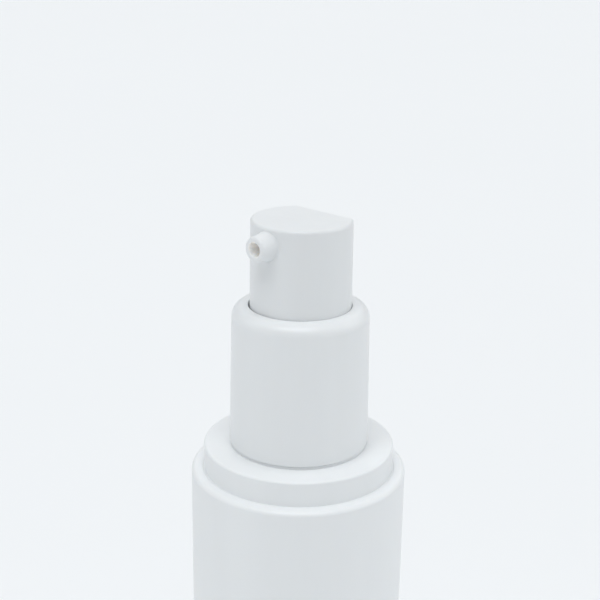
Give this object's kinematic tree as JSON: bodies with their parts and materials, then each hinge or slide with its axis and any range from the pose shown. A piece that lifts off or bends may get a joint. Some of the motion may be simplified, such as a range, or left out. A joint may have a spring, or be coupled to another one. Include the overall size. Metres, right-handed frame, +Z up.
{
  "type": "airless pump bottle",
  "caption": "White airless pump bottle for liquid foundation, with a press-down D-cut head, side nozzle, collar sleeve and a shoulder ring for an overcap.",
  "frame": {"origin": "centre of the resting face at the foot of the body, on the bottle's axis", "axes": "+Z up along the bottle's axis; -Y the way the nozzle points; the D-cut flat faces +Y"},
  "size_m": [0.035, 0.035, 0.1137],
  "materials": {
    "body_white": "satin moulded polypropylene",
    "ring_white": "satin moulded polypropylene",
    "collar_white": "satin moulded polypropylene",
    "head_white": "satin moulded polypropylene",
    "nozzle_white": "satin moulded polypropylene",
    "natural_inner": "natural moulded polypropylene",
    "soft_piston": "soft polyethylene",
    "gasket": "soft flat seal",
    "spring_steel": "drawn stainless wire",
    "ball_steel": "polished stainless ball"
  },
  "bodies": {
    "bottle": {"outer_bottle": "body_white", "base_plug": "body_white", "inner_cartridge": "natural_inner", "shoulder_ring": "ring_white", "neck_gasket": "gasket", "neck_closure": "natural_inner", "collar_sleeve": "collar_white", "pump_housing": "natural_inner", "valve_seat": "natural_inner", "pump_cap": "natural_inner", "return_spring": "spring_steel"},
    "plunger": {"pump_stem": "natural_inner", "stem_plug": "natural_inner"},
    "head": {"actuator_core": "natural_inner", "actuator_shell": "head_white", "nozzle_tip": "nozzle_white"},
    "piston": {"pump_piston": "soft_piston"},
    "valve_ball": {"inlet_ball": "ball_steel"},
    "follower": {"follower_piston": "soft_piston"}
  },
  "joints": [
    {"name": "pump_stroke", "type": "slide", "parent": "bottle", "child": "plunger", "axis": [0, 0, -1], "range_m": [0, 0.006], "stiffness_N_per_m": 900, "springref_m": -0.008, "deforming": ["return_spring"]},
    {"name": "head_swivel", "type": "hinge", "parent": "plunger", "child": "head", "pos_m": [0, 0, 0.1], "axis": [0, 0, 1], "continuous": true},
    {"name": "piston_lag", "type": "slide", "parent": "plunger", "child": "piston", "axis": [0, 0, 1], "range_m": [0, 0.0008]},
    {"name": "ball_lift", "type": "slide", "parent": "bottle", "child": "valve_ball", "axis": [0, 0, 1], "range_m": [0, 0.00095]},
    {"name": "follower_rise", "type": "slide", "parent": "bottle", "child": "follower", "axis": [0, 0, 1], "range_m": [0, 0.053]}
  ]
}
